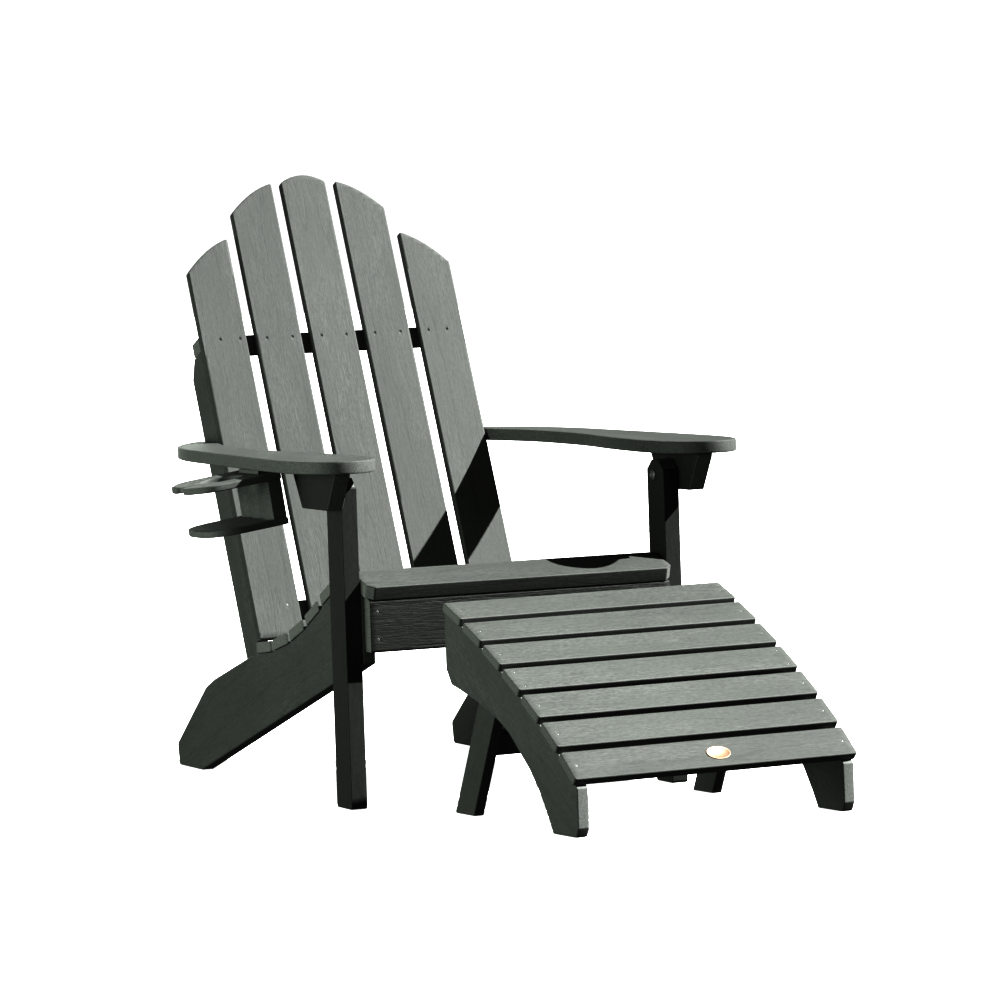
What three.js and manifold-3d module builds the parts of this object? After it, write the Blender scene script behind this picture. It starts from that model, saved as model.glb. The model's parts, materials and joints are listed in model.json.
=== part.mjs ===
// Adirondack chair with a cup holder and a separate folding ottoman, in millimetres.
// Frame while building: X across the seat, +Y towards the back, +Z up, the front of the legs at y = 0.
import * as THREE from "three";
import { mergeVertices } from "three/addons/utils/BufferGeometryUtils.js";
import Module from "manifold-3d";

const manifold = await Module();
manifold.setup();

// Fits
const GAP = 0.3; // between boards that touch
const PIVOT_CLEAR = 0.1; // radial, between a pivot bolt and the leg that turns on it
const EDGE = 2; // rounding on the long edges of a board
const CORNER = 5; // rounding on the corners of a board

// Chair: legs, rails, apron
const LEG_OUT = 323;
const LEG_T = 30.5;
const LEG_D = 66;
const LEG_TOP = 572;
const LEG_CHAMFER = { y: 20, z: 17 };
const LEG_IN = LEG_OUT - LEG_T;
const RAIL_T = 24;
const RAIL_OUT = LEG_IN - GAP;
const APRON_T = 26;
const APRON_HALF = RAIL_OUT - 5.2;
const APRON_BOTTOM = 271;
const RAIL_NOSE_Z = 250; // underside of the rail at its front end
const HEEL = { y1: 792, y2: 908, y3: 914, z: 40 };

// Seat: front edge of each board's top (y, z), its fall towards the back in degrees, its width
const SEAT_T = 20;
const SEAT_HALF = RAIL_OUT + 1.8;
const BETWEEN_LEGS = LEG_IN - 1; // half length of the boards that lie between the front legs
const SEAT_FRONT = { y: -34.8, z: 384.6, fall: -18, width: 78, half: BETWEEN_LEGS };
const SEAT_FRONT_T = 25;
const SEAT_ROWS = [
  { y: 52, z: 408, fall: 12, width: 65, half: BETWEEN_LEGS },
  { y: 126, z: 389, fall: 26.5, width: 68 },
  { y: 199.5, z: 348.5, fall: 26.5, width: 68 },
  { y: 273, z: 311, fall: 20.5, width: 68 },
  { y: 349, z: 282.5, fall: 13.5, width: 68 },
  { y: 427, z: 263.5, fall: 6.5, width: 68 },
];

// Back
const RECLINE = 23.8; // degrees from upright
const BACK_FOOT = { y: 619.9, z: 420 }; // a point on the front of the back, where s = 0
const BACK_HALF = RAIL_OUT - RAIL_T - 4;
const SLAT_GAP = 19.6;
const SLAT_W = (2 * BACK_HALF - 4 * SLAT_GAP) / 5;
const SLAT_PITCH = SLAT_W + SLAT_GAP;
const SLAT_T = 15;
const SLAT_BOTTOM = -178;
const SLAT_TOPS = [
  { inner: 612, outer: 547 },
  { inner: 721, outer: 663 },
  { inner: 721, outer: 721, crown: 15 },
];
const CROSS_W = 29;
const CROSS_D = 36;
const CROSS_UPPER = 394;
const CROSS_LOWER = -132;
const POST_T = 22;
const POST_D = 64;
const POST_BOTTOM = -212;
const POST_CUT = { s: 31, t: 26 }; // slanted end under the upper cross rail

// Arms and their brackets
const ARM_T = 22;
const ARM_UNDER = LEG_TOP + 14;
// Plan of an arm: (distance outside the leg's outer face, y), and the tip beside the back post
const ARM_FRONT = [
  [-38, 640], [-23, 560], [-19, 460], [-25, 330], [-41, 210], [-53, 90], [-55, 0], [-45, -52],
  [-21, -90], [15, -110], [48, -106], [77, -77], [95, -22], [101, 70], [92, 240], [80, 430],
  [69, 560], [48, 650], [20, 712], [-10, 758],
];
const ARM_TIP = [[21.8, 788], [3.8, 793], [1.3, 765], [3.8, 705]]; // x outside the back post
const ARM_OUTLINE = [
  ...ARM_FRONT.map(([x, y]) => [LEG_OUT + x, y]),
  ...ARM_TIP.map(([x, y]) => [BACK_HALF + x, y]),
];
const BRACKET_T = 30;
const BRACKET_BOTTOM = ARM_UNDER - 67;
const BRACKET_TOP_LEN = 196;
const BRACKET_BOTTOM_LEN = 112;
const BRACKET_MID = { left: 47, right: 18 };

// Bolts
const BOLT_R = 4;
const BOLT_HEAD_R = 9.5;
const BOLT_HEAD_H = 4;
const BOLT_BITE = 22; // how far a bolt runs into the bracket
const BOLT_AT = { y: 40, z: ARM_UNDER - 41 };

// Cup holder, under the arm on the viewer's left; hangs a little low on its outer side
const CUP_TILT = 8;
const CUP_PIVOT = { x: -LEG_OUT - 79, z: ARM_UNDER - 66 };
const CUP_MID_Y = 195;
const CUP_WIDTH = 156;
const CUP_PLATE_T = 12;
const CUP_TOP_Z = ARM_UNDER - 5.5 - CUP_PLATE_T;
const CUP_BASE_Z = CUP_TOP_Z - 79.5;
const CUP_TOP_REACH = 137;
const CUP_BASE_REACH = 121;
const CUP_HOLE_R = 36;
const CUP_HOLE_X = 56;
const CUP_SLOT = 26;
const RISER_T = 26;
const RISER_RIBS = 3;
const RISER_RIB_DEPTH = 8;

// Ottoman
const OTT_AT = { x: 38, y: 0, turn: 4.4 };
const OTT_HALF = 272;
const OTT_SLAT_W = 63.8;
const OTT_SLAT_GAP = 11.8;
const OTT_SLAT_T = 15;
const OTT_START = { y: -168, z: 363.5 };
const OTT_FALLS = [22.1, 24.9, 26.9, 29.6, 31.9, 34.9, 40.2];
const OTT_STEP_FALL = 8; // extra fall between one board and the next
const OTT_RAIL_OUT = 266.5;
const OTT_RAIL_T = 21;
const OTT_NOSE = 5; // how far the rails' front ends stand out from under the lowest board
const OTT_LEG_T = 20;
const OTT_LEG_W = 59;
const OTT_LEG_LEAN = 26.4;
const OTT_PIVOT = { y: -289, z: 240 };
const OTT_PIVOT_R = 5;
const BRACE = { at: 128, width: 44, thick: 18 };
const BADGE = { x: 14, along: 30, rx: 22.5, ry: 14.5, t: 1.2 };

const rad = THREE.MathUtils.degToRad;
const v2 = (x, y) => new THREE.Vector2(x, y);

const lumber = new THREE.MeshStandardMaterial({ color: 0x5f665f, roughness: 0.6 });
const steel = new THREE.MeshStandardMaterial({ color: 0x8a8c8a, roughness: 0.4, metalness: 1 });
const copper = new THREE.MeshStandardMaterial({ color: 0xa38f7c, roughness: 0.45, metalness: 1 });

// The same outline, turned to run anticlockwise.
const wind = (pts) => (THREE.ShapeUtils.isClockWise(pts) ? pts.reverse() : pts);

// A polygon with every corner rounded to at most r, as a list of points.
function rounded(points, r, steps = 3) {
  const out = [];
  points.forEach((p, i) => {
    const a = v2(...points.at(i - 1));
    const b = v2(...p);
    const c = v2(...points[(i + 1) % points.length]);
    const toA = a.clone().sub(b);
    const toC = c.clone().sub(b);
    const radius = p[2] ?? r;
    const half = Math.abs(toA.angle() - toC.angle()) / 2;
    const halfAngle = half > Math.PI / 2 ? Math.PI - half : half;
    const cut = Math.min(radius / Math.tan(halfAngle), toA.length() * 0.45, toC.length() * 0.45);
    if (cut < 0.05) {
      out.push(b);
      return;
    }
    const from = b.clone().add(toA.setLength(cut));
    const to = b.clone().add(toC.setLength(cut));
    for (let k = 0; k <= steps; k += 1) {
      const t = k / steps;
      const one = from.clone().lerp(b, t);
      const two = b.clone().lerp(to, t);
      out.push(one.lerp(two, t));
    }
  });
  return out;
}

function circlePath(x, y, r, segments = 24) {
  const ring = [];
  for (let k = 0; k < segments; k += 1) {
    const a = (2 * Math.PI * k) / segments;
    ring.push(v2(x + r * Math.cos(a), y + r * Math.sin(a)));
  }
  return new THREE.Path(ring);
}

// A plate of the outline, thick along its own +Z from 0, with its long edges rounded.
function plate(points, thick, edge = EDGE, holes = []) {
  const shape = new THREE.Shape(points);
  shape.holes = holes;
  const geometry = new THREE.ExtrudeGeometry(shape, {
    depth: thick - 2 * edge,
    bevelEnabled: edge > 0,
    bevelThickness: edge,
    bevelSize: edge,
    bevelOffset: -edge,
    bevelSegments: 2,
  });
  return geometry.translate(0, 0, edge);
}

// Maps a plate's own x, y, z onto three given directions and an origin.
function place(geometry, ux, uy, uz, at) {
  const frame = new THREE.Matrix4().makeBasis(ux, uy, uz);
  frame.setPosition(at);
  return geometry.applyMatrix4(frame);
}

const X = new THREE.Vector3(1, 0, 0);
const Y = new THREE.Vector3(0, 1, 0);
const Z = new THREE.Vector3(0, 0, 1);

// A side-view outline in (y, z), thick along X from x0.
function sideBoard(points, x0, thick, edge = EDGE, holes = []) {
  return place(plate(points, thick, edge, holes), Y, Z, X, new THREE.Vector3(x0, 0, 0));
}

// A plan-view outline in (x, y), thick along Z from z0.
function flatBoard(points, z0, thick, edge = EDGE, holes = []) {
  return plate(points, thick, edge, holes).translate(0, 0, z0);
}

// A board across X whose top runs from (y, z) at its front, falling backwards by an angle.
function crossBoard(row, thick, half, points = null) {
  const a = rad(row.fall);
  const back = new THREE.Vector3(0, Math.cos(a), -Math.sin(a));
  const up = new THREE.Vector3(0, Math.sin(a), Math.cos(a));
  const outline = points ?? [[-half, 0], [half, 0], [half, row.width], [-half, row.width]];
  const at = new THREE.Vector3(0, row.y, row.z).addScaledVector(up, -thick);
  return place(plate(rounded(outline, CORNER), thick), X, back, up, at);
}

// The two ends of a board's underside, dropped by the fit gap: front then back.
function underside(row, thick) {
  const a = rad(row.fall);
  const drop = thick + GAP;
  const front = [row.y - drop * Math.sin(a), row.z - drop * Math.cos(a)];
  const back = [front[0] + row.width * Math.cos(a), front[1] - row.width * Math.sin(a)];
  return [front, back];
}

const set = new THREE.Group();
const chair = new THREE.Group();
const ottoman = new THREE.Group();
const cup = new THREE.Group();
set.add(chair, ottoman);
chair.add(cup);

function add(group, name, geometry, material = lumber) {
  const mesh = new THREE.Mesh(geometry, material);
  mesh.name = name;
  group.add(mesh);
  return mesh;
}

const sides = [
  { name: "left", s: -1 },
  { name: "right", s: 1 },
];
// Where a board of this thickness starts in X when its outer face is at +-out.
const startX = (s, out, thick) => (s < 0 ? -out : out - thick);

// Chair side rails, which are also the rear legs
const frontUnder = underside(SEAT_FRONT, SEAT_FRONT_T);
const noseSlope = (frontUnder[1][1] - frontUnder[0][1]) / (frontUnder[1][0] - frontUnder[0][0]);
const seatUnderAt = (y) => frontUnder[0][1] + (y - frontUnder[0][0]) * noseSlope;
const railOutline = [
  [0, RAIL_NOSE_Z],
  [HEEL.y1, 0, 8],
  [HEEL.y2, 0, 8],
  [HEEL.y3, HEEL.z, 8],
  [756, 157, 60],
  [713, 174, 60],
  [546, 223, 60],
];
const seatTop = SEAT_ROWS.toReversed().flatMap((row) => underside(row, SEAT_T).toReversed());
railOutline.push(...seatTop.map(([y, z]) => [y, z, 0]));
railOutline.push([frontUnder[1][0], frontUnder[1][1], 0], [0, seatUnderAt(0), 0]);
for (const { name, s } of sides) {
  const x0 = startX(s, RAIL_OUT, RAIL_T);
  add(chair, `side_rail_${name}`, sideBoard(rounded(railOutline, 4), x0, RAIL_T));
}

// Front legs
const legOutline = [
  [0, 0],
  [LEG_D, 0],
  [LEG_D, LEG_TOP - LEG_CHAMFER.z],
  [LEG_D - LEG_CHAMFER.y, LEG_TOP],
  [LEG_CHAMFER.y, LEG_TOP],
  [0, LEG_TOP - LEG_CHAMFER.z],
];
const boltHole = () => circlePath(BOLT_AT.y, BOLT_AT.z, BOLT_R + GAP);
for (const { name, s } of sides) {
  const x0 = startX(s, LEG_OUT, LEG_T);
  add(chair, `front_leg_${name}`, sideBoard(rounded(legOutline, 5), x0, LEG_T, EDGE, [boltHole()]));
}

// Apron on the rails' front ends, planed to the slope of the front seat board
const apronOutline = [
  [-GAP - APRON_T, APRON_BOTTOM],
  [-GAP, APRON_BOTTOM],
  [-GAP, seatUnderAt(-GAP)],
  [-GAP - APRON_T, seatUnderAt(-GAP - APRON_T)],
];
add(chair, "apron", sideBoard(rounded(apronOutline, 4), -APRON_HALF, 2 * APRON_HALF));

// Seat boards
const cut = 13;
const frontBoard = [
  [-SEAT_FRONT.half, cut],
  [-SEAT_FRONT.half + cut, 0],
  [SEAT_FRONT.half - cut, 0],
  [SEAT_FRONT.half, cut],
  [SEAT_FRONT.half, SEAT_FRONT.width],
  [-SEAT_FRONT.half, SEAT_FRONT.width],
];
add(chair, "seat_front", crossBoard(SEAT_FRONT, SEAT_FRONT_T, SEAT_FRONT.half, frontBoard));
SEAT_ROWS.forEach((row, i) => {
  add(chair, `seat_slat_${i + 1}`, crossBoard(row, SEAT_T, row.half ?? SEAT_HALF));
});

// Back: own axes are X, up the slope (s) and through the board towards the back (t)
const lean = rad(RECLINE);
const upSlope = new THREE.Vector3(0, Math.sin(lean), Math.cos(lean));
const through = new THREE.Vector3(0, Math.cos(lean), -Math.sin(lean));
const backFoot = new THREE.Vector3(0, BACK_FOOT.y, BACK_FOOT.z);
const backward = (t) => backFoot.clone().addScaledVector(through, t);

// An outline in (x, s), thick along t from t0. X, s and t are a left-handed set, so x is turned round.
function backBoard(points, t0, thick, edge = EDGE) {
  const flipped = points.map((p) => v2(-p.x, p.y)).reverse();
  return place(plate(flipped, thick, edge), X.clone().negate(), upSlope, through, backward(t0));
}

// An arc from one corner of a board's top to the other, bulging by the given amount.
function topArc(x0, s0, x1, s1, bulge, steps = 8) {
  const pts = [];
  for (let k = 0; k <= steps; k += 1) {
    const t = k / steps;
    const lift = bulge * 4 * t * (1 - t);
    pts.push([x0 + (x1 - x0) * t, s0 + (s1 - s0) * t + lift, k === 0 || k === steps ? 7 : 0]);
  }
  return pts;
}

for (let i = 0; i < 5; i += 1) {
  const k = i - 2;
  const x0 = k * SLAT_PITCH - SLAT_W / 2;
  const x1 = x0 + SLAT_W;
  const top = SLAT_TOPS[2 - Math.abs(k)];
  const [sLeft, sRight] = k < 0 ? [top.outer, top.inner] : [top.inner, top.outer];
  const outline = [
    [x0, SLAT_BOTTOM],
    [x1, SLAT_BOTTOM],
    ...topArc(x1, sRight, x0, sLeft, top.crown ?? 9),
  ];
  add(chair, `back_slat_${i + 1}`, backBoard(rounded(outline, CORNER), 0, SLAT_T));
}
const bar = (x0, x1, s0, s1) => [[x0, s0], [x1, s0], [x1, s1], [x0, s1]];
const crossT = SLAT_T + GAP;
const upperBar = bar(-BACK_HALF, BACK_HALF, CROSS_UPPER, CROSS_UPPER + CROSS_W);
add(chair, "back_rail_upper", backBoard(rounded(upperBar, 5), crossT, CROSS_D));
const lowerHalf = BACK_HALF - POST_T - GAP;
const lowerBar = bar(-lowerHalf, lowerHalf, CROSS_LOWER, CROSS_LOWER + CROSS_W);
add(chair, "back_rail_lower", backBoard(rounded(lowerBar, 5), crossT, CROSS_D));
const slopePoint = (s, t) => {
  const p = backward(t).addScaledVector(upSlope, s);
  return [p.y, p.z];
};
const postTop = CROSS_UPPER - GAP;
const postOutline = wind(rounded([
  slopePoint(POST_BOTTOM, crossT),
  slopePoint(postTop, crossT),
  slopePoint(postTop, crossT + POST_D - POST_CUT.t),
  slopePoint(postTop - POST_CUT.s, crossT + POST_D),
  slopePoint(POST_BOTTOM, crossT + POST_D),
], 4));
for (const { name, s } of sides) {
  const x0 = startX(s, BACK_HALF, POST_T);
  add(chair, `back_post_${name}`, sideBoard(postOutline, x0, POST_T));
}

// A board with a drill's solid taken out of it.
function drilled(board, drill) {
  const [solid, tool] = [board, drill].map((geometry) => {
    const bare = new THREE.BufferGeometry();
    const loose = geometry.index ? geometry.toNonIndexed() : geometry;
    bare.setAttribute("position", loose.getAttribute("position"));
    const closed = mergeVertices(bare, 1e-3);
    const triVerts = new Uint32Array(closed.index.array);
    const vertProperties = closed.getAttribute("position").array;
    return new manifold.Manifold(new manifold.Mesh({ numProp: 3, vertProperties, triVerts }));
  });
  const { vertProperties, triVerts } = solid.subtract(tool).getMesh();
  const cut = new THREE.BufferGeometry();
  cut.setAttribute("position", new THREE.BufferAttribute(vertProperties, 3));
  return cut.setIndex(new THREE.BufferAttribute(triVerts, 1));
}

// Arms
function armOutline(s) {
  const curve = new THREE.CatmullRomCurve3(
    ARM_OUTLINE.map(([x, y]) => new THREE.Vector3(x * s, y, 0)),
    true,
    "centripetal",
  );
  const pts = curve.getPoints(ARM_OUTLINE.length * 3).slice(0, -1);
  const flat = pts.map((p) => v2(p.x, p.y));
  return wind(flat);
}
for (const { name, s } of sides) {
  add(chair, `arm_${name}`, flatBoard(armOutline(s), ARM_UNDER, ARM_T, 3));
  const mid = BRACKET_MID[name];
  const bracket = [
    [mid - BRACKET_BOTTOM_LEN / 2, BRACKET_BOTTOM],
    [mid + BRACKET_BOTTOM_LEN / 2, BRACKET_BOTTOM],
    [mid + BRACKET_TOP_LEN / 2, ARM_UNDER - GAP],
    [mid - BRACKET_TOP_LEN / 2, ARM_UNDER - GAP],
  ];
  const x0 = s < 0 ? -LEG_OUT - GAP - BRACKET_T : LEG_OUT + GAP;
  const depth = BOLT_BITE + 1;
  const drill = new THREE.CylinderGeometry(BOLT_R + GAP, BOLT_R + GAP, 2 * depth, 24).rotateZ(Math.PI / 2);
  drill.translate(s * (LEG_OUT + GAP), BOLT_AT.y, BOLT_AT.z);
  const board = sideBoard(rounded(bracket, 5), x0, BRACKET_T);
  add(chair, `arm_bracket_${name}`, drilled(board, drill));
}

// A bolt along its own +Z: domed head below z = 0, shank from 0 to the given length, domed tip.
function boltShape(radius, length, headR, headH, segments = 24) {
  const outline = [v2(0, -headH), v2(headR * 0.62, -headH * 0.8), v2(headR, -headH * 0.25), v2(headR, 0)];
  outline.push(v2(radius, 0), v2(radius, length - 1), v2(radius - 1, length), v2(0, length));
  return new THREE.LatheGeometry(outline, segments).rotateX(Math.PI / 2);
}
for (const { name, s } of sides) {
  const bolt = boltShape(BOLT_R, LEG_T + BOLT_BITE, BOLT_HEAD_R, BOLT_HEAD_H);
  bolt.rotateY((s * Math.PI) / 2);
  bolt.translate(s * (LEG_IN - GAP), BOLT_AT.y, BOLT_AT.z);
  add(chair, `leg_bolt_${name}`, bolt, steel);
}

// Cup holder, built level and then tilted about an axis along Y
const cupFront = -CUP_WIDTH / 2;
const cupBack = CUP_WIDTH / 2;
const inboard = RISER_T;

// A plate that runs outwards from x = inboard and ends in a wide round nose.
function nosed(reach, r) {
  return [[inboard, cupFront], [inboard, cupBack], [-reach, cupBack, r], [-reach, cupFront, r]];
}
const noseR = CUP_WIDTH * 0.5;
const slotEnd = -CUP_TOP_REACH;
const slotHalf = CUP_SLOT / 2;
const ringStart = Math.asin(slotHalf / CUP_HOLE_R);
const ringArc = [];
for (let k = 0; k <= 28; k += 1) {
  const a = Math.PI - ringStart - (k / 28) * 2 * (Math.PI - ringStart);
  ringArc.push([-CUP_HOLE_X + CUP_HOLE_R * Math.cos(a), CUP_HOLE_R * Math.sin(a), 0]);
}
const ringPts = rounded([
  [inboard, cupFront],
  [inboard, cupBack],
  [slotEnd + 30, cupBack, 70],
  [slotEnd, cupBack - 42, 22],
  [slotEnd, slotHalf, 12],
  ...ringArc,
  [slotEnd, -slotHalf, 12],
  [slotEnd, cupFront + 42, 22],
  [slotEnd + 30, cupFront, 70],
], 3, 5);
add(cup, "cup_ring_plate", flatBoard(wind(ringPts), CUP_TOP_Z, CUP_PLATE_T, 2));

const basePts = wind(rounded(nosed(CUP_BASE_REACH, noseR), 3, 10));
add(cup, "cup_base_plate", flatBoard(basePts, CUP_BASE_Z, CUP_PLATE_T, 2));

const ribbed = [v2(inboard - 2, cupFront + 2), v2(inboard - 2, cupBack - 2)];
const ribW = (CUP_WIDTH - 4) / RISER_RIBS;
for (let r = 0; r < RISER_RIBS; r += 1) {
  for (let k = 0; k <= 6; k += 1) {
    if (r > 0 && k === 0) continue;
    const t = k / 6;
    ribbed.push(v2(-RISER_RIB_DEPTH * Math.sin(Math.PI * t), cupBack - 2 - (r + t) * ribW));
  }
}
const riserZ = CUP_BASE_Z + CUP_PLATE_T + GAP;
add(cup, "cup_riser", flatBoard(wind(ribbed), riserZ, CUP_TOP_Z - GAP - riserZ, 0));
cup.children.forEach((mesh) => mesh.geometry.translate(0, 0, -CUP_PIVOT.z));
cup.position.set(CUP_PIVOT.x, CUP_MID_Y, CUP_PIVOT.z);
cup.rotation.y = -rad(CUP_TILT);

// Wedge that fills between the arm and the tilted ring plate
const ringTopAt = (x) => {
  const a = rad(CUP_TILT);
  const rise = CUP_TOP_Z + CUP_PLATE_T + GAP - CUP_PIVOT.z;
  const edge = { x: CUP_PIVOT.x - rise * Math.sin(a), z: CUP_PIVOT.z + rise * Math.cos(a) };
  return edge.z + (x - edge.x) * Math.tan(a);
};
const wedgeIn = CUP_PIVOT.x + 6;
const wedgeOut = CUP_PIVOT.x - 14;
const wedge = [
  v2(wedgeOut, ringTopAt(wedgeOut)),
  v2(wedgeIn, ringTopAt(wedgeIn)),
  v2(wedgeIn, ARM_UNDER - GAP),
  v2(wedgeOut, ARM_UNDER - GAP),
];
const wedgeAt = new THREE.Vector3(0, CUP_MID_Y + 40, 0);
const wedgeBlock = place(plate(wedge, 90, 0), X, Z, Y.clone().negate(), wedgeAt);
add(chair, "cup_wedge", wedgeBlock);

// Ottoman boards, each starting where the one before it ends
const ottRows = [];
const cursor = v2(OTT_START.y, OTT_START.z);
OTT_FALLS.forEach((fall, i) => {
  const a = rad(fall);
  const front = cursor.clone().add(v2(-Math.cos(a), -Math.sin(a)).multiplyScalar(OTT_SLAT_W));
  ottRows.push({ y: front.x, z: front.y, fall: -fall, width: OTT_SLAT_W });
  const next = OTT_FALLS[i + 1] ?? fall;
  const b = rad((fall + next) / 2 + OTT_STEP_FALL);
  cursor.copy(front).add(v2(-Math.cos(b), -Math.sin(b)).multiplyScalar(OTT_SLAT_GAP));
});
ottRows.forEach((row, i) => {
  add(ottoman, `ottoman_slat_${i + 1}`, crossBoard(row, OTT_SLAT_T, OTT_HALF));
});

// Ottoman side rails, which end in the front feet
const ottTop = ottRows.flatMap((row) => underside(row, OTT_SLAT_T).toReversed());
const ottFront = ottTop.at(-1);
const ottBack = ottTop[0];
const ottNose = ottFront[0] - OTT_NOSE;
const ottRail = [
  [ottBack[0] + 2, ottBack[1]],
  ...ottTop.slice(1, -1).map(([y, z]) => [y, z, 0]),
  [ottNose, ottFront[1] - OTT_NOSE * Math.tan(rad(OTT_FALLS.at(-1)))],
  [ottNose, 16, 6],
  [ottNose + 8, 0, 6],
  [-518, 0, 5],
  [-502, 27, 90],
  [-475, 66, 90],
  [-444, 100, 90],
  [-373, 158, 90],
  [-334, 177, 90],
  [-269, 200, 90],
  [-213, 216, 60],
  [-178, 224, 6],
  [ottBack[0] + 2, 250, 6],
];
const ottRailOutline = wind(rounded(ottRail, 4));
for (const { name, s } of sides) {
  const x0 = startX(s, OTT_RAIL_OUT, OTT_RAIL_T);
  add(ottoman, `ottoman_rail_${name}`, sideBoard(ottRailOutline, x0, OTT_RAIL_T));
}

// Ottoman folding legs: a leaning board with a round top about the pivot
const legOut = OTT_RAIL_OUT - OTT_RAIL_T - GAP;
const leanLeg = rad(OTT_LEG_LEAN);
const down = v2(Math.sin(leanLeg), -Math.cos(leanLeg));
const rearward = v2(Math.cos(leanLeg), Math.sin(leanLeg));
const pivot = v2(OTT_PIVOT.y, OTT_PIVOT.z);
const legR = OTT_LEG_W / 2;
const foot = (side) => {
  const top = pivot.clone().addScaledVector(rearward, side * legR);
  return top.addScaledVector(down, top.y / -down.y);
};
const foldLeg = [foot(-1), foot(1)];
for (let k = 0; k <= 10; k += 1) {
  const a = (Math.PI * k) / 10;
  const out = rearward.clone().multiplyScalar(Math.cos(a) * legR);
  foldLeg.push(pivot.clone().add(out).addScaledVector(down, -Math.sin(a) * legR));
}
for (const { name, s } of sides) {
  const x0 = startX(s, legOut, OTT_LEG_T);
  const hole = circlePath(OTT_PIVOT.y, OTT_PIVOT.z, OTT_PIVOT_R + PIVOT_CLEAR);
  add(ottoman, `ottoman_leg_${name}`, sideBoard(foldLeg, x0, OTT_LEG_T, EDGE, [hole]));
  const bolt = boltShape(OTT_PIVOT_R, OTT_LEG_T + GAP, 10, 4);
  bolt.rotateY((s * Math.PI) / 2);
  bolt.translate(s * (legOut - OTT_LEG_T - GAP), OTT_PIVOT.y, OTT_PIVOT.z);
  add(ottoman, `ottoman_pivot_${name}`, bolt, steel);
}
const braceHalf = legOut - OTT_LEG_T - GAP;
const braceMid = pivot.clone().addScaledVector(down, BRACE.at);
const braceCorner = (u, w) => {
  const p = braceMid.clone().addScaledVector(down, (u * BRACE.width) / 2);
  return p.addScaledVector(rearward, (w * BRACE.thick) / 2);
};
const braceEnds = [[1, -1], [1, 1], [-1, 1], [-1, -1]].map(([u, w]) => braceCorner(u, w));
const bracePts = rounded(braceEnds.map((p) => [p.x, p.y]), 4);
add(ottoman, "ottoman_brace", sideBoard(bracePts, -braceHalf, 2 * braceHalf));

// Blank oval plate on the lowest board
const last = ottRows.at(-1);
const fallLast = rad(last.fall);
const badgeBack = new THREE.Vector3(0, Math.cos(fallLast), -Math.sin(fallLast));
const badgeUp = new THREE.Vector3(0, Math.sin(fallLast), Math.cos(fallLast));
const badgeAt = new THREE.Vector3(BADGE.x, last.y, last.z);
badgeAt.addScaledVector(badgeBack, BADGE.along).addScaledVector(badgeUp, GAP / 3);
const oval = new THREE.EllipseCurve(0, 0, BADGE.rx, BADGE.ry, 0, 2 * Math.PI).getPoints(36).slice(0, -1);
add(ottoman, "badge", place(plate(oval, BADGE.t, 0.4), X, badgeBack, badgeUp, badgeAt), copper);

ottoman.position.set(OTT_AT.x, OTT_AT.y, 0);
ottoman.rotation.z = rad(OTT_AT.turn);

// The part's origin is the middle of its footprint box, on the ground.
set.updateMatrixWorld(true);
const box = new THREE.Box3().setFromObject(set, true);
const mid = box.getCenter(new THREE.Vector3());
set.position.set(-mid.x, -mid.y, -box.min.z);

export default set;
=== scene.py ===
import json
import math

import bmesh
import bpy
from bpy.props import FloatProperty, FloatVectorProperty, PointerProperty
from mathutils import Matrix, Vector, noise

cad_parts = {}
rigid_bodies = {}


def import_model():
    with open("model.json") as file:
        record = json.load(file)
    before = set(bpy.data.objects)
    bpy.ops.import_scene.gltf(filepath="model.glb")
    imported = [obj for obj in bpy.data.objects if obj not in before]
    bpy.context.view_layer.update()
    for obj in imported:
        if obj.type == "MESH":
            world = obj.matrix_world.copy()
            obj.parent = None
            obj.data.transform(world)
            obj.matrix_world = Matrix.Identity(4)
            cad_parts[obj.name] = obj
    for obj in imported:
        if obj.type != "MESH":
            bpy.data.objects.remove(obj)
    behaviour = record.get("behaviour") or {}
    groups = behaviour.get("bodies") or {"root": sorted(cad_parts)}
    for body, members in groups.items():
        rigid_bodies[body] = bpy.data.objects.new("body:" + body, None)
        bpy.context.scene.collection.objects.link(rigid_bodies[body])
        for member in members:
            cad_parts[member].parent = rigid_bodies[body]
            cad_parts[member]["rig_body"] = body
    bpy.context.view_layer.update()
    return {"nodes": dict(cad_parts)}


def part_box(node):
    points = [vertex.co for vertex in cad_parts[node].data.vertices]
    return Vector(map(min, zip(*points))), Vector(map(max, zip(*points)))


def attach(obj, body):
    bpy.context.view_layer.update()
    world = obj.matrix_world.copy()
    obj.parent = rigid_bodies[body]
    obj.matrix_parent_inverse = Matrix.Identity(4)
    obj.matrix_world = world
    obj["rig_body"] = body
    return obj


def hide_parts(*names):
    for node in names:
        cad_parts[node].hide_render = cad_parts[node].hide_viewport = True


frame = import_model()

bl_info = {
    "name": "Adirondack Chair Looks",
    "version": (1, 0, 0),
    "blender": (4, 5, 0),
    "location": "3D View > Sidebar > Adirondack",
    "description": "Finishes the boards, screws, bolts and plate of a lumber chair and its ottoman",
    "category": "Object",
}

MM = 0.001
SAWN = "sawn"  # face attribute: how sawn a face looks, from 0 to 1
BROAD = 0.999  # a face whose normal is this near a direction, as a dot product, is square to it
UP = Vector((0.0, 0.0, 1.0))
TOWARDS_SITTER = Vector((0.0, -1.0, 0.2))

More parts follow.
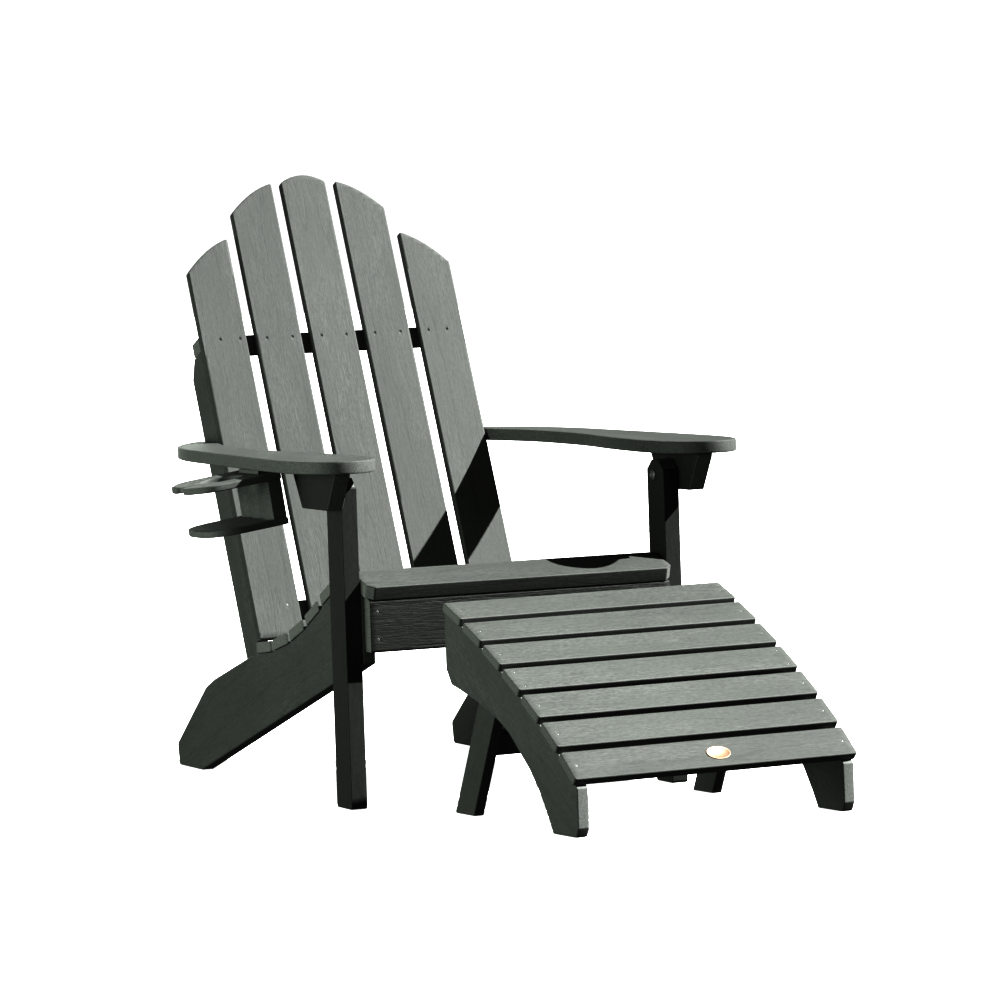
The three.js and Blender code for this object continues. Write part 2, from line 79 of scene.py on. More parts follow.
# The boards, in the groups that a maker would cut them in
SEAT_SLATS = [f"seat_slat_{i}" for i in range(1, 7)]
BACK_BOARDS = [f"back_slat_{i}" for i in range(1, 6)]
CUP_BOARDS = ["cup_ring_plate", "cup_base_plate", "cup_riser", "cup_wedge"]
OTTOMAN_SLATS = [f"ottoman_slat_{i}" for i in range(1, 8)]
OTTOMAN_RAILS = ["ottoman_rail_left", "ottoman_rail_right"]
OTTOMAN_LEGS = ["ottoman_leg_left", "ottoman_leg_right", "ottoman_brace"]
BOLTS = ["leg_bolt_left", "leg_bolt_right", "ottoman_pivot_left", "ottoman_pivot_right"]

PAINTED_SHADE_TONE = 0.43  # painted shade: the front legs, brackets and apron are painted this much darker than the other boards; 1 for an even chair

# Brightness of each board, beside the lumber's own colour: part the boards' own tone, part painted
# light and shade for how each board is lit
BACK_TONES = [0.83, 0.82, 0.89, 0.845, 0.90]
OTTOMAN_TONES = [1.07, 1.08, 1.10, 1.13, 1.10, 1.07, 0.93]

# Screws across each board, in millimetres from its middle
BACK_SCREWS = [(-9, 30), (-26, 26), (-25, 25), (-26, 26), (-26, 12)]
BACK_FOOT_SCREW = 22
SEAT_SCREW_OFFSETS = (-19, 19)
OTTOMAN_SCREWS = [(0,), (0,), (0,), (-21, 21), (0,), (0,), (0,)]
APRON_SCREWS = {"from_end": 14, "offsets": (-23, 25)}

# Scratches: how many to the metre along each axis
BRUSHED_SCREW = (40.0, 900.0, 900.0)
BRUSHED_BOLT = (300.0, 300.0, 900.0)
BRUSHED_PLATE = (700.0, 30.0, 30.0)

# Camera, in metres and degrees
CAMERA_AT = Vector((-3.96672, -9.09865, 1.11574))
CAMERA_YAW = 23.98766
CAMERA_PITCH = -3.56854
CAMERA_ROLL = -1.92380
CAMERA_SHIFT = (0.01183, 0.00893)

# Lights
SUN_FROM = Vector((0.68, -0.32, 0.66))
SUN_WIDTH = 0.7  # degrees
SHADE_TINT = (0.93, 1.0, 0.925)
SOFT_BOXES = {  # place in metres, power, width
    "side_soft_box": ((-2.6, 0.1, 0.35), 80, 1.6),
    "rear_soft_box": ((0.6, 5.0, 0.7), 110, 2.5),
}
SEEN_SKY = 1.2  # strength of the sky where the camera sees it
VIEW_GAMMA = 0.60


class LumberSettings(bpy.types.PropertyGroup):
    """Colour and surface of the moulded lumber."""

    colour: FloatVectorProperty(
        name="Colour",
        description="Middle colour of the lumber",
        subtype="COLOR",
        default=(0.112, 0.1198, 0.1105),
    )
    streak_colour: FloatVectorProperty(
        name="Streak colour",
        description="Colour in the bottom of the grain",
        subtype="COLOR",
        default=(0.078, 0.084, 0.077),
    )
    worn_and_glint_colour: FloatVectorProperty(
        name="Worn and glint colour",
        description="Paler colour of rubbed patches, and a painted glint on the grain crests",
        subtype="COLOR",
        default=(0.156, 0.162, 0.153),
    )
    sawn_and_painted_light_colour: FloatVectorProperty(
        name="Sawn and painted light colour",
        description="Paler colour where a board was sawn, lightened as painted light on its shaded ends",
        subtype="COLOR",
        default=(0.225, 0.236, 0.222),
    )
    roughness: FloatProperty(
        name="Roughness",
        description="Roughness of the satin surface",
        subtype="FACTOR",
        default=0.58,
        min=0.0,
        max=1.0,
    )
    grain_width: FloatProperty(
        name="Grain width",
        description="Width of one embossed grain line",
        unit="LENGTH",
        default=2.2 * MM,
    )
    grain_length: FloatProperty(
        name="Grain length",
        description="Length of one embossed grain line",
        unit="LENGTH",
        default=38 * MM,
    )
    emboss_depth: FloatProperty(
        name="Emboss depth",
        description="Depth of the embossed grain",
        unit="LENGTH",
        default=0.5 * MM,
    )


class FastenerSettings(bpy.types.PropertyGroup):
    """Screws and bolts."""

    head_radius: FloatProperty(
        name="Screw head radius",
        description="Radius of a countersunk screw head",
        unit="LENGTH",
        default=2.6 * MM,
    )
    sink: FloatProperty(
        name="Sink",
        description="How far a screw head lies under the board's face",
        unit="LENGTH",
        default=0.3 * MM,
    )
    steel_colour: FloatVectorProperty(
        name="Steel colour",
        description="Colour of the coated screws",
        subtype="COLOR",
        default=(0.27, 0.28, 0.265),
    )
    bolt_colour: FloatVectorProperty(
        name="Bolt colour",
        description="Colour of the round bolt heads",
        subtype="COLOR",
        default=(0.26, 0.27, 0.26),
    )
    plate_colour: FloatVectorProperty(
        name="Plate colour",
        description="Colour of the oval plate",
        subtype="COLOR",
        default=(0.56, 0.395, 0.29),
    )


class StageSettings(bpy.types.PropertyGroup):
    """Floor, lights and camera."""

    floor_size: FloatProperty(
        name="Floor size",
        description="Width of the floor",
        unit="LENGTH",
        default=60.0,
    )
    sun_strength: FloatProperty(
        name="Sun strength",
        description="Strength of the key light",
        default=13.5,
        min=0.0,
    )
    sky_strength: FloatProperty(
        name="Sky strength",
        description="Strength of the light from all around",
        default=0.10,
        min=0.0,
    )
    lens: FloatProperty(
        name="Lens",
        description="Focal length of the camera",
        subtype="DISTANCE_CAMERA",
        default=203.30,
    )


# ---------------------------------------------------------------- shader maths


class Socket:
    """An output socket that takes part in Python expressions."""

    def __init__(self, shader, socket):
        self.shader = shader
        self.socket = socket

    def _maths(self, operation, first, second):
        settings = {"operation": operation}
        return self.shader.node("ShaderNodeMath", settings, {0: first, 1: second})

    def __add__(self, other):
        return self._maths("ADD", self, other)

    def __radd__(self, other):
        return self._maths("ADD", other, self)

    def __sub__(self, other):
        return self._maths("SUBTRACT", self, other)

    def __rsub__(self, other):
        return self._maths("SUBTRACT", other, self)

    def __mul__(self, other):
        return self._maths("MULTIPLY", self, other)

    def __rmul__(self, other):
        return self._maths("MULTIPLY", other, self)

    def __abs__(self):
        return self._maths("ABSOLUTE", self, 0.0)


class Shader:
    """A new material's node tree, and the ways to add to it."""

    def __init__(self, name):
        self.material = bpy.data.materials.new(name)
        self.material.use_nodes = True
        self.tree = self.material.node_tree
        self.tree.nodes.clear()

    def node(self, kind, settings=None, values=None, out=None):
        """Adds a node with its settings and input values or links, and returns one of its outputs."""
        made = self.tree.nodes.new(kind)
        for key, value in (settings or {}).items():
            setattr(made, key, value)
        for key, value in (values or {}).items():
            found = [s for s in made.inputs if s.enabled and s.name == key]
            target = made.inputs[key] if isinstance(key, int) else found[0]
            if isinstance(value, Socket):
                self.tree.links.new(value.socket, target)
            else:
                target.default_value = value
        shown = [s for s in made.outputs if s.enabled]
        socket = made.outputs[out] if out is not None else shown[0] if shown else None
        return Socket(self, socket) if socket else made

    def noise(self, vector, scale, detail=3.0, roughness=0.55, distortion=0.0):
        values = {"Vector": vector, "Scale": scale, "Detail": detail}
        values |= {"Roughness": roughness, "Distortion": distortion}
        return self.node("ShaderNodeTexNoise", None, values, out="Fac")

    def spread(self, value, low, high):
        """Maps low..high onto 0..1, smoothly, with what is outside held at the ends."""
        settings = {"interpolation_type": "SMOOTHSTEP"}
        values = {"Value": value, "From Min": low, "From Max": high}
        return self.node("ShaderNodeMapRange", settings, values)

    def blend(self, factor, first, second, mode="MIX"):
        settings = {"data_type": "RGBA", "blend_type": mode}
        return self.node("ShaderNodeMix", settings, {"Factor": factor, "A": first, "B": second})

    def scaled(self, vector, scale):
        return self.node("ShaderNodeMapping", None, {"Vector": vector, "Scale": scale})

    def warped(self, vector, scale, reach):
        """The vector, pushed about by up to half the reach, so that straight grain wanders."""
        wander = {"Vector": vector, "Scale": scale, "Detail": 1.0}
        push = self.node("ShaderNodeTexNoise", None, wander, out="Color")
        push = self.node("ShaderNodeVectorMath", {"operation": "SCALE"}, {0: push, "Scale": reach})
        return self.node("ShaderNodeVectorMath", {"operation": "ADD"}, {0: vector, 1: push})

    def surface(self, **sockets):
        """Ends the material in a Principled BSDF with these inputs."""
        names = {"colour": "Base Color", "roughness": "Roughness", "metallic": "Metallic"}
        names |= {"normal": "Normal", "specular": "Specular IOR Level"}
        values = {names[key]: value for key, value in sockets.items()}
        shader = self.node("ShaderNodeBsdfPrincipled", None, values)
        self.node("ShaderNodeOutputMaterial", None, {"Surface": shader})
        return self.material


def rgba(colour, gain=1.0):
    return (*(channel * gain for channel in colour), 1.0)


def lumber(name, axes, tone, relief):
    """Moulded lumber, satin, with embossed wood grain along the first of a board's axes, painted
    glints on its grain crests and a paler sawn colour that is partly painted light.
    """
    s = bpy.context.scene.chair_lumber
    shader = Shader(name)
    place = shader.node("ShaderNodeTexCoord", out="Object")
    sawn = shader.node("ShaderNodeAttribute", {"attribute_name": SAWN}, out="Fac")
    turn = Matrix(axes).to_euler()
    along = shader.node("ShaderNodeMapping", None, {"Vector": place, "Rotation": turn})
    along = shader.warped(along, 11.0, 8 * MM)
    rate = 1 / s.grain_width
    grain_at = shader.scaled(along, (1 / s.grain_length, rate, rate))
    fine_at = shader.scaled(along, (4 / s.grain_length, 0.8 * rate, 0.8 * rate))
    grain = shader.noise(grain_at, 1.0, detail=2.5, distortion=0.7)
    fine = shader.noise(fine_at, 1.0, detail=2.0, roughness=0.6)
    rings = shader.noise(shader.scaled(along, (1.6, 26.0, 26.0)), 1.0, detail=1.0)
    patch = shader.noise(shader.scaled(along, (3.5, 14.0, 14.0)), 1.0, detail=3.0)
    cloud = shader.noise(place, 4.5, detail=2.0)
    grit = shader.noise(place, 700.0, detail=1.0)
    valley = 1 - shader.spread(grain, 0.32, 0.50)
    crest = shader.spread(grain, 0.52, 0.70)
    line = 1 - shader.spread(abs(rings - 0.5), 0.0, 0.018)
    rubbed = shader.spread(patch, 0.40, 0.68)
    fleck = shader.spread(fine, 0.34, 0.66)
    # How much brighter the paler colour is painted on the grain crests: a painted highlight that
    # grows with the relief
    glint = tone * (1 + 0.35 * relief)
    groove = valley * 0.40 + line * 0.35
    base = shader.blend(groove, rgba(s.colour, tone), rgba(s.streak_colour, tone))
    # Paler colour on the grain crests and flecks inside rubbed patches: wear in the patches, and a
    # painted glint on the crests
    base = shader.blend((crest * 0.5 + fleck * 0.2) * rubbed, base, rgba(s.worn_and_glint_colour, glint))
    # Sawn faces take the paler sawn colour: the sawn lumber's own lighter colour, lightened further
    # as painted light on the shaded ends
    base = shader.blend(sawn * (0.7 + fleck * 0.3), base, rgba(s.sawn_and_painted_light_colour))
    shade = 0.70 + cloud * 0.20 + grit * 0.26 + fleck * 0.15
    channels = {"Red": shade, "Green": shade, "Blue": shade}
    grey = shader.node("ShaderNodeCombineColor", None, channels)
    base = shader.blend(1.0, base, grey, mode="MULTIPLY")
    rough = s.roughness - 0.07 + grain * 0.06 + fine * 0.10 + sawn * 0.12
    height = grain * 0.7 + fine * 0.2 + grit * 0.1 - line * 0.25
    bump = {"Strength": 1.0, "Distance": s.emboss_depth * relief, "Height": height}
    normal = shader.node("ShaderNodeBump", None, bump)
    return shader.surface(colour=base, roughness=rough, normal=normal, specular=0.3)


def metal(name, colour, roughness, brushed, metallic=1.0):
    """Metal with fine scratches and a little dull film."""
    shader = Shader(name)
    place = shader.node("ShaderNodeTexCoord", out="Object")
    scratch = shader.noise(shader.scaled(place, brushed), 1.0, detail=4.0, roughness=0.7)
    film = shader.noise(place, 160.0, detail=3.0)
    base = shader.blend(shader.spread(film, 0.45, 0.75) * 0.5, rgba(colour), rgba(colour, 0.6))
    rough = roughness + scratch * 0.18 + film * 0.12
    bump = {"Strength": 0.25, "Distance": 0.05 * MM, "Height": scratch}
    normal = shader.node("ShaderNodeBump", None, bump)
    return shader.surface(colour=base, roughness=rough, metallic=metallic, normal=normal)


# ---------------------------------------------------------------- meshes


def merged_copy(node):
    """A CAD node's mesh with its corners joined and its flat faces whole."""
    bm = bmesh.new()
    bm.from_mesh(frame["nodes"][node].data)
    bmesh.ops.remove_doubles(bm, verts=bm.verts, dist=0.002 * MM)
    flat = math.radians(0.4)
    bmesh.ops.dissolve_limit(bm, angle_limit=flat, verts=bm.verts, edges=bm.edges)
    return bm


def board_axes(bm, facing):
    """Unit directions along, across and out of a board's broad face, and the middle of that face."""
    area = sum(f.calc_area() for f in bm.faces)
    middle = sum((f.calc_center_median() * f.calc_area() for f in bm.faces), Vector()) / area
    broad = max(bm.faces, key=lambda f: (round(f.calc_area(), 5), f.normal.dot(facing)))
    out = broad.normal.copy()
    if out.dot(facing) < 0:
        out.negate()
    side = out.orthogonal().normalized()
    other = out.cross(side)
    centre = broad.calc_center_median()
    share = area / len(broad.verts)
    spots = [(f.calc_center_median() - middle, f.calc_area()) for f in bm.faces]
    spots += [(v.co - centre, share) for v in broad.verts]
    lean = sum(weight * spot.dot(side) * spot.dot(other) for spot, weight in spots)
    stretch = sum(weight * (spot.dot(side) ** 2 - spot.dot(other) ** 2) for spot, weight in spots)
    angle = 0.5 * math.atan2(2 * lean, stretch)
    along = side * math.cos(angle) + other * math.sin(angle)
    across = out.cross(along)
    top = max(v.co.dot(out) for v in bm.verts)
    face = middle + out * (top - middle.dot(out))
    return along, across, out, face


def object_from(bm, name, material, smooth_angle=40):
    """A finished object at the origin, with smooth shading between its sharp edges."""
    mesh = bpy.data.meshes.new(name)
    bm.to_mesh(mesh)
    bm.free()
    mesh.materials.append(material)
    mesh.polygons.foreach_set("use_smooth", [True] * len(mesh.polygons))
    mesh.set_sharp_from_angle(angle=math.radians(smooth_angle))
    made = bpy.data.objects.new(name, mesh)
    bpy.context.scene.collection.objects.link(made)
    return made


def add_cone(bm, at, out, low_radius, high_radius, depth, segments):
    """A closed cone whose wide end's middle is at a point and faces out."""
    turn = out.to_track_quat("Z", "Y").to_matrix().to_4x4()
    place = Matrix.Translation(at - out * depth / 2) @ turn
    made = bmesh.ops.create_cone(
        bm,
        cap_ends=True,
        segments=segments,
        radius1=low_radius,
        radius2=high_radius,
        depth=depth,
        matrix=place,
    )
    return made["verts"]


def add_screw(bm, at, out):
    """A countersunk screw head with a six-lobed socket, its rim at a point and facing out."""
    radius = bpy.context.scene.chair_fasteners.head_radius
    verts = add_cone(bm, at, out, radius * 0.5, radius, radius * 0.7, 24)
    faces = {f for v in verts for f in v.link_faces}
    cap = max(faces, key=lambda f: f.calc_center_median().dot(out))
    bmesh.ops.inset_region(bm, faces=[cap], thickness=radius * 0.14, depth=radius * 0.08)
    bmesh.ops.inset_region(bm, faces=[cap], thickness=radius * 0.34)
    centre = cap.calc_center_median()
    for i, v in enumerate(cap.verts):
        if i % 4 < 2:
            v.co = centre + (v.co - centre) * 0.7
    socket = bmesh.ops.extrude_discrete_faces(bm, faces=[cap])["faces"]
    bmesh.ops.translate(bm, verts=socket[0].verts, vec=out * -radius * 0.4)


def cut_holes(board, points, out):
    """Cuts a countersunk hole at each point of a board's face."""
    s = bpy.context.scene.chair_fasteners
    bm = bmesh.new()
    rim = s.head_radius + 0.15 * MM
    for point in points:
        add_cone(bm, point + out * 0.5 * MM, out, rim * 0.8, rim * 1.08, 4 * MM, 20)
    cutter = object_from(bm, board.name + "_cutter", board.data.materials[0])
    cut = board.modifiers.new("holes", "BOOLEAN")
    cut.operation = "DIFFERENCE"
    cut.solver = "EXACT"
    cut.object = cutter
    graph = bpy.context.evaluated_depsgraph_get()
    mesh = bpy.data.meshes.new_from_object(board.evaluated_get(graph))
    board.modifiers.remove(cut)
    old = board.data
    board.data = mesh
    bpy.data.meshes.remove(old)
    bpy.data.objects.remove(cutter)


def mark_sawn(bm, axes, shaped):
    """Marks the sawn ends of a board, and how sawn the edge of a shaped one looks."""
    along, _, out, _ = axes
    layer = bm.faces.layers.float.new(SAWN)
    for f in bm.faces:
        if shaped:
            f[layer] = shaped if abs(f.normal.dot(out)) < 0.5 else 0.0
        else:
            f[layer] = 1.0 if abs(f.normal.dot(along)) > 0.7 else 0.0


def strips(bm, direction, step, out):
    """Cuts the faces that are square to `out` into strips, square to a direction."""
    reach = [v.co.dot(direction) for v in bm.verts]
    low, high = min(reach), max(reach)
    count = int((high - low) / step)
    for k in range(1, count):
        at = direction * (low + (high - low) * k / count)
        broad = [f for f in bm.faces if abs(f.normal.dot(out)) > BROAD]
        edges = {e for f in broad for e in f.edges}
        verts = {v for f in broad for v in f.verts}
        bmesh.ops.bisect_plane(bm, geom=[*verts, *edges, *broad], plane_co=at, plane_no=direction)


def press_grain(bm, axes, depth):
    """Presses wandering wood grain into the broad faces of a board, inside its rounded edges."""
    s = bpy.context.scene.chair_lumber
    along, across, out, _ = axes
    strips(bm, along, s.grain_length / 3, out)
    strips(bm, across, s.grain_width * 1.3, out)
    bm.normal_update()
    for v in bm.verts:
        normals = [f.normal for f in v.link_faces]
        if not all(abs(n.dot(out)) > BROAD for n in normals):
            continue
        wander = noise.noise(v.co * 11.0) * 2.2
        where = Vector((
            v.co.dot(along) / s.grain_length,
            v.co.dot(across) / (s.grain_width * 2.2) + wander,
            v.co.dot(out) / s.grain_width,
        ))
        v.co -= normals[0] * depth * (0.5 - 0.5 * noise.noise(where))


def dress_board(
    node, facing=UP, tone=1.0, relief=0.35, pressed=0.15 * MM, shaped=0.0, screws=None
):
    """Stands a finished board in for a CAD board.

    `pressed` is the depth of the grain in its broad faces, `shaped` is how sawn the edge of a board
    that was cut to a shape looks, and `screws` gives its screw places from its axes. Returns the
    screw points and the direction they face.
    """
    bm = merged_copy(node)
    axes = board_axes(bm, facing)
    along, across, out, face = axes
    if pressed:
        press_grain(bm, axes, pressed)
    mark_sawn(bm, axes, shaped)
    finish = lumber(f"{node}_lumber", (along, across, out), tone, relief)
    board = object_from(bm, f"{node}_board", finish)
    places = screws(axes) if screws else ()
    points = [face + along * a + across * b for a, b in places]
    if points:
        cut_holes(board, points, out)
    weighted = board.modifiers.new("even_shading", "WEIGHTED_NORMAL")
    weighted.keep_sharp = True
    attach(board, frame["nodes"][node]["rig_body"])
    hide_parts(node)
    return points, out


def middle_of(node):
    low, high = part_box(node)
    return (low + high) / 2


def over(rests, offsets):
    """Screw places over the middles of the pieces that a board rests on, in rows across it."""

    def places(axes):
        along, _, _, face = axes
        stations = [(middle_of(rest) - face).dot(along) for rest in rests]
        return [(station, offset * MM) for station in stations for offset in offsets]

    return places


def into(rest):
    """The screw place on a board that is opposite the middle of one piece."""

    def places(axes):
        along, across, _, face = axes
        reach = middle_of(rest) - face
        return [(reach.dot(along), reach.dot(across))]

    return places


def both(first, second):
    """The places that two rules give, together."""
    return lambda axes: first(axes) + second(axes)


def screw_set(name, places, body, depth=1.0, tone=1.0):
    """One object with a screw head sunk under each point, for a set of boards."""
    s = bpy.context.scene.chair_fasteners
    bm = bmesh.new()
    for points, out in places:
        for point in points:
            add_screw(bm, point - out * s.sink * depth, out)
    colour = [c * tone for c in s.steel_colour]
    steel = metal(f"{name}_steel", colour, 0.4, BRUSHED_SCREW, metallic=0.4)
    screws = object_from(bm, name, steel, smooth_angle=30)
    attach(screws, body)


def tone_of(index):
    """A small, fixed difference in tone from one board to the next."""
    return 1.0 + 0.05 * math.sin(2.3 * index + 0.7)


def outward_of(node):
    """Straight out to the left for a left piece, and to the right for any other."""
    return Vector((-1 if node.endswith("left") else 1, 0, 0))


# ---------------------------------------------------------------- operators


class CHAIR_OT_legs(bpy.types.Operator):
    """Finish the side rails, the front legs and the apron"""

    bl_idname = "chair.legs"
    bl_label = "Legs and rails"

    def execute(self, context):
        for node in ("side_rail_left", "side_rail_right"):
            dress_board(node, outward_of(node))
        for node in ("front_leg_left", "front_leg_right"):
            # The front legs are painted darker, as painted shade
            dress_board(node, outward_of(node), tone=PAINTED_SHADE_TONE, pressed=0)
        low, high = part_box("apron")
        end = (high.x - low.x) / 2 - APRON_SCREWS["from_end"] * MM
        spots = [(side * end, up * MM) for side in (-1, 1) for up in APRON_SCREWS["offsets"]]
        front = Vector((0, -1, 0))
        # The apron is painted darker, as painted shade, and its deep relief brightens the painted
        # glints on its grain crests
        place = dress_board(
            "apron", front, PAINTED_SHADE_TONE, relief=3.0, pressed=0.7 * MM, screws=lambda axes: spots
        )
        screw_set("apron_screws", [place], "chair")
        return {"FINISHED"}


class CHAIR_OT_seat(bpy.types.Operator):
    """Finish the seat boards and their screws"""

    bl_idname = "chair.seat"
    bl_label = "Seat"

    def execute(self, context):
        dress_board("seat_front", tone=0.94)
        screws = over(("side_rail_left", "side_rail_right"), SEAT_SCREW_OFFSETS)
        places = [
            dress_board(node, tone=tone_of(i), screws=screws)
            for i, node in enumerate(SEAT_SLATS)
        ]
        screw_set("seat_screws", places, "chair")
        return {"FINISHED"}


class CHAIR_OT_back(bpy.types.Operator):
    """Finish the back boards, the frame behind them and their screws"""

    bl_idname = "chair.back"
    bl_label = "Back"

    def execute(self, context):
        upper, lower = [], []
        foot = over(("back_rail_lower",), (BACK_FOOT_SCREW,))
        for node, tone, offsets in zip(BACK_BOARDS, BACK_TONES, BACK_SCREWS):
            screws = both(over(("back_rail_upper",), offsets), foot)
            points, out = dress_board(node, TOWARDS_SITTER, tone=tone, screws=screws)
            upper.append((points[:-1], out))
            lower.append((points[-1:], out))
        for node in ("back_post_left", "back_post_right"):
            upper.append(dress_board(node, outward_of(node), screws=into("back_rail_lower")))
        for node in ("back_rail_upper", "back_rail_lower"):
            dress_board(node)
        # The upper screws' steel is painted at half brightness, as painted shade in their sunk holes
        screw_set("back_screws_upper", upper, "chair", depth=4.5, tone=0.5)
        screw_set("back_screws_lower", lower, "chair")
        return {"FINISHED"}


class CHAIR_OT_arms(bpy.types.Operator):
    """Finish the arms and their brackets"""

    bl_idname = "chair.arms"
    bl_label = "Arms"

    def execute(self, context):
        for side in ("left", "right"):
            dress_board(f"arm_{side}", tone=0.93, shaped=0.35)
            node = f"arm_bracket_{side}"
            # The brackets are painted darker, as painted shade
            dress_board(node, outward_of(node), tone=PAINTED_SHADE_TONE, pressed=0)
        return {"FINISHED"}


class CHAIR_OT_cup_holder(bpy.types.Operator):
    """Finish the cup holder under the arm"""

    bl_idname = "chair.cup_holder"
    bl_label = "Cup holder"

    def execute(self, context):
        for node in CUP_BOARDS:
            dress_board(node, pressed=0, shaped=0.35)
        return {"FINISHED"}


class CHAIR_OT_ottoman(bpy.types.Operator):
    """Finish the ottoman's boards, rails, folding legs and screws"""

    bl_idname = "chair.ottoman"
    bl_label = "Ottoman"

    def execute(self, context):
        places = [
            dress_board(node, tone=tone, screws=over(OTTOMAN_RAILS, offsets))
            for node, tone, offsets in zip(OTTOMAN_SLATS, OTTOMAN_TONES, OTTOMAN_SCREWS)
        ]
        for node in OTTOMAN_RAILS:
            dress_board(node, outward_of(node), tone=1.2, shaped=1.0)
        for node in OTTOMAN_LEGS:
            dress_board(node, outward_of(node), tone=0.9, pressed=0)
        screw_set("ottoman_screws", places, "ottoman")
        return {"FINISHED"}


class CHAIR_OT_bolts(bpy.types.Operator):
    """Finish the bolts"""

    bl_idname = "chair.bolts"
    bl_label = "Bolts"

    def execute(self, context):
        s = context.scene.chair_fasteners
        for node in BOLTS:
            steel = metal(f"{node}_steel", s.bolt_colour, 0.42, BRUSHED_BOLT)
            bolt = object_from(merged_copy(node), f"{node}_head", steel, smooth_angle=35)
            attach(bolt, frame["nodes"][node]["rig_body"])
            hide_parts(node)
        return {"FINISHED"}


class CHAIR_OT_plate(bpy.types.Operator):
    """Finish the blank oval plate on the ottoman"""

    bl_idname = "chair.plate"
    bl_label = "Oval plate"

    def execute(self, context):
        s = context.scene.chair_fasteners
        bm = merged_copy("badge")
        face = max(bm.faces, key=lambda f: (round(f.calc_area(), 7), f.normal.z))
        bmesh.ops.inset_region(bm, faces=[face], thickness=1.6 * MM)
        bmesh.ops.inset_region(bm, faces=[face], thickness=0.4 * MM, depth=-0.35 * MM)
        copper = metal("oval_plate_copper", s.plate_colour, 0.42, BRUSHED_PLATE, metallic=0.7)
        plate = object_from(bm, "oval_plate", copper, smooth_angle=30)
        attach(plate, "ottoman")
        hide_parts("badge")
        return {"FINISHED"}


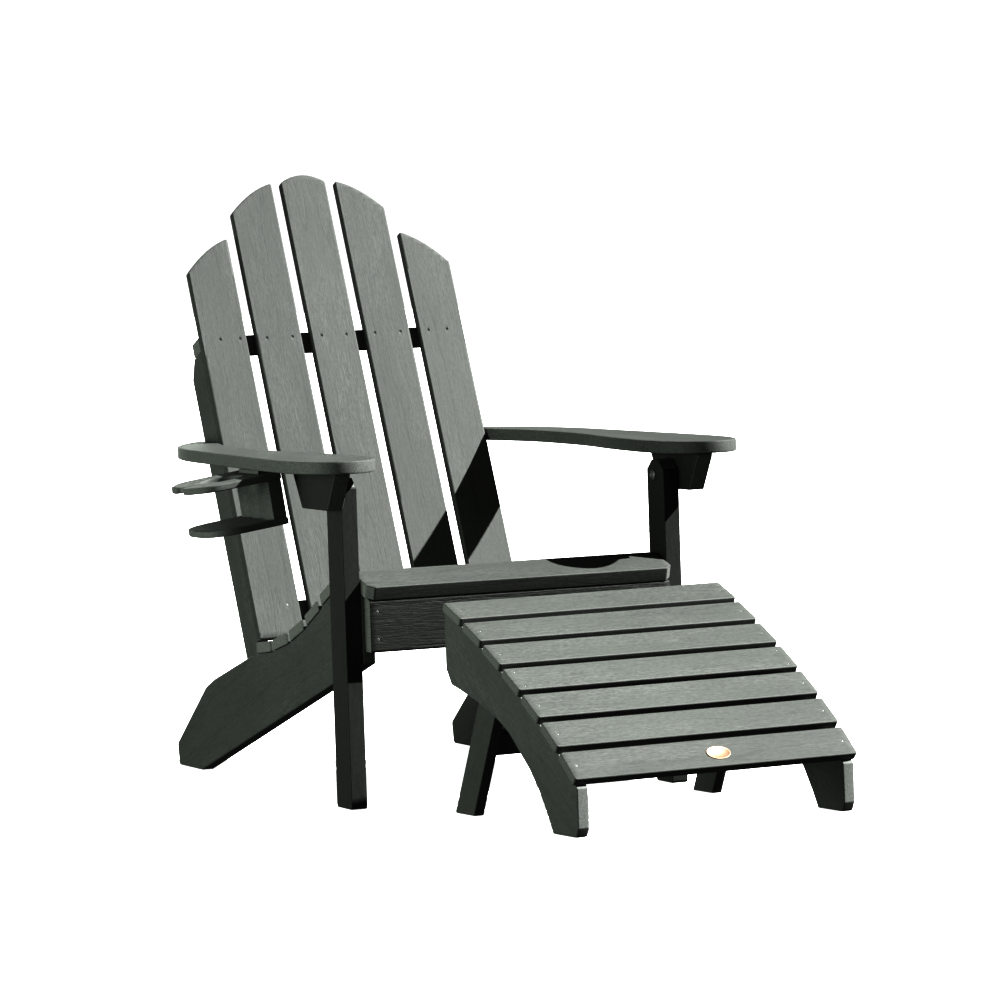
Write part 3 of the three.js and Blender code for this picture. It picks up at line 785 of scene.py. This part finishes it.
class CHAIR_OT_stage(bpy.types.Operator):
    """Add the floor, the lights and the camera"""

    bl_idname = "chair.stage"
    bl_label = "Stage"

    def execute(self, context):
        s = context.scene.chair_stage
        self.add_floor(s)
        self.add_lights(context, s)
        self.add_camera(context, s)
        context.scene.view_settings.view_transform = "Standard"
        context.scene.view_settings.gamma = VIEW_GAMMA
        return {"FINISHED"}

    def add_floor(self, s):
        bm = bmesh.new()
        bmesh.ops.create_grid(bm, x_segments=1, y_segments=1, size=s.floor_size / 2)
        bmesh.ops.translate(bm, verts=bm.verts, vec=UP * -0.5 * MM)
        shader = Shader("floor_paint")
        place = shader.node("ShaderNodeTexCoord", out="Object")
        speck = shader.noise(place, 6.0)
        white = shader.blend(speck, (0.86, 0.86, 0.85, 1.0), (0.90, 0.90, 0.89, 1.0))
        paint = {"Base Color": white, "Roughness": 0.9, "Emission Color": (1, 1, 1, 1)}
        paint["Emission Strength"] = 1.0
        coat = shader.node("ShaderNodeBsdfPrincipled", None, paint)
        shader.node("ShaderNodeOutputMaterial", None, {"Surface": coat})
        floor = object_from(bm, "floor", shader.material)
        floor.visible_diffuse = False
        floor.visible_glossy = False

    def add_lights(self, context, s):
        sun = bpy.data.lights.new("sun", "SUN")
        sun.energy = s.sun_strength
        sun.angle = math.radians(SUN_WIDTH)
        lamp = bpy.data.objects.new("sun", sun)
        lamp.rotation_euler = SUN_FROM.to_track_quat("Z", "Y").to_euler()
        context.scene.collection.objects.link(lamp)
        for name, (at, energy, size) in SOFT_BOXES.items():
            soft = bpy.data.lights.new(name, "AREA")
            soft.energy = energy
            soft.size = size
            soft.color = SHADE_TINT
            box = bpy.data.objects.new(name, soft)
            box.location = at
            box.visible_camera = False
            box.rotation_euler = Vector(at).to_track_quat("Z", "Y").to_euler()
            context.scene.collection.objects.link(box)
        world = bpy.data.worlds.new("sky")
        world.use_nodes = True
        tree = world.node_tree
        tree.nodes.clear()
        path = tree.nodes.new("ShaderNodeLightPath")
        seen = tree.nodes.new("ShaderNodeBackground")
        seen.inputs["Strength"].default_value = SEEN_SKY
        lit = tree.nodes.new("ShaderNodeBackground")
        lit.inputs["Strength"].default_value = s.sky_strength
        mix = tree.nodes.new("ShaderNodeMixShader")
        end = tree.nodes.new("ShaderNodeOutputWorld")
        seen.inputs["Color"].default_value = (1.0, 1.0, 1.0, 1.0)
        lit.inputs["Color"].default_value = rgba(SHADE_TINT)
        tree.links.new(path.outputs["Is Camera Ray"], mix.inputs[0])
        tree.links.new(lit.outputs[0], mix.inputs[1])
        tree.links.new(seen.outputs[0], mix.inputs[2])
        tree.links.new(mix.outputs[0], end.inputs[0])
        context.scene.world = world

    def add_camera(self, context, s):
        data = bpy.data.cameras.new("camera")
        data.lens = s.lens
        data.shift_x, data.shift_y = CAMERA_SHIFT
        data.clip_end = 500.0
        camera = bpy.data.objects.new("camera", data)
        turns = (
            Matrix.Rotation(math.radians(-CAMERA_YAW), 4, "Z")
            @ Matrix.Rotation(math.radians(90 + CAMERA_PITCH), 4, "X")
            @ Matrix.Rotation(math.radians(CAMERA_ROLL), 4, "Z")
        )
        camera.matrix_world = Matrix.Translation(CAMERA_AT) @ turns
        context.scene.collection.objects.link(camera)
        context.scene.camera = camera


class CHAIR_PT_looks(bpy.types.Panel):
    """Sizes, colours and the steps that finish the chair"""

    bl_idname = "CHAIR_PT_looks"
    bl_label = "Adirondack chair"
    bl_space_type = "VIEW_3D"
    bl_region_type = "UI"
    bl_category = "Adirondack"

    def draw(self, context):
        for settings in ("chair_lumber", "chair_fasteners", "chair_stage"):
            group = getattr(context.scene, settings)
            box = self.layout.box()
            for key in group.bl_rna.properties.keys():
                if key not in ("rna_type", "name"):
                    box.prop(group, key)
        for step in STEPS:
            self.layout.operator(step.bl_idname)


STEPS = (
    CHAIR_OT_stage,
    CHAIR_OT_legs,
    CHAIR_OT_seat,
    CHAIR_OT_back,
    CHAIR_OT_arms,
    CHAIR_OT_cup_holder,
    CHAIR_OT_ottoman,
    CHAIR_OT_bolts,
    CHAIR_OT_plate,
)
GROUPS = {
    "chair_lumber": LumberSettings,
    "chair_fasteners": FastenerSettings,
    "chair_stage": StageSettings,
}
CLASSES = (*GROUPS.values(), *STEPS, CHAIR_PT_looks)


def register():
    for made in CLASSES:
        bpy.utils.register_class(made)
    for name, group in GROUPS.items():
        setattr(bpy.types.Scene, name, PointerProperty(type=group))


def unregister():
    for name in GROUPS:
        delattr(bpy.types.Scene, name)
    for made in reversed(CLASSES):
        bpy.utils.unregister_class(made)


def main():
    register()
    for step in STEPS:
        group, name = step.bl_idname.split(".")
        getattr(getattr(bpy.ops, group), name)()


if __name__ == "__main__":
    main()
